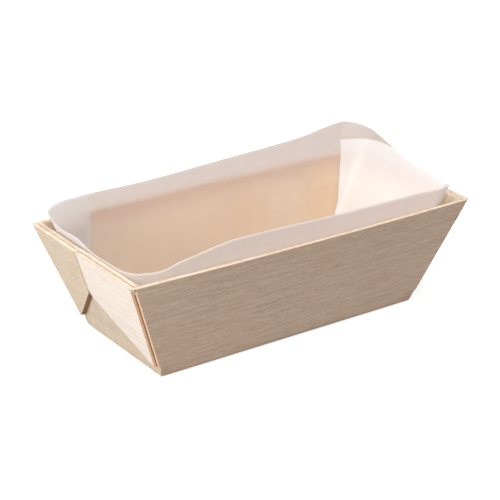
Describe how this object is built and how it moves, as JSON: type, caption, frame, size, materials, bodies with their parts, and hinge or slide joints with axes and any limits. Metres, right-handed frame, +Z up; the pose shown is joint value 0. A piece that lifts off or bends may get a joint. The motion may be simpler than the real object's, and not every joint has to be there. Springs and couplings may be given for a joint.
{
  "type": "wooden baking punnet",
  "caption": "Shallow loaf tray folded from one wood veneer sheet, with end flaps folded round its sloping ends and a loose paper liner standing above the rim",
  "frame": {"origin": "middle of the underside of the base", "axes": "+X along the length, +Y across to the back wall, +Z up"},
  "size_m": [0.175, 0.0781, 0.0618],
  "materials": {
    "veneer": "bare rotary-cut wood veneer with fine lengthwise grain and pale cut edges",
    "paper": "thin translucent baking paper, satin, softly creased"
  },
  "bodies": {
    "root": {"veneer_tray": "veneer", "paper_liner": "paper"}
  },
  "joints": []
}
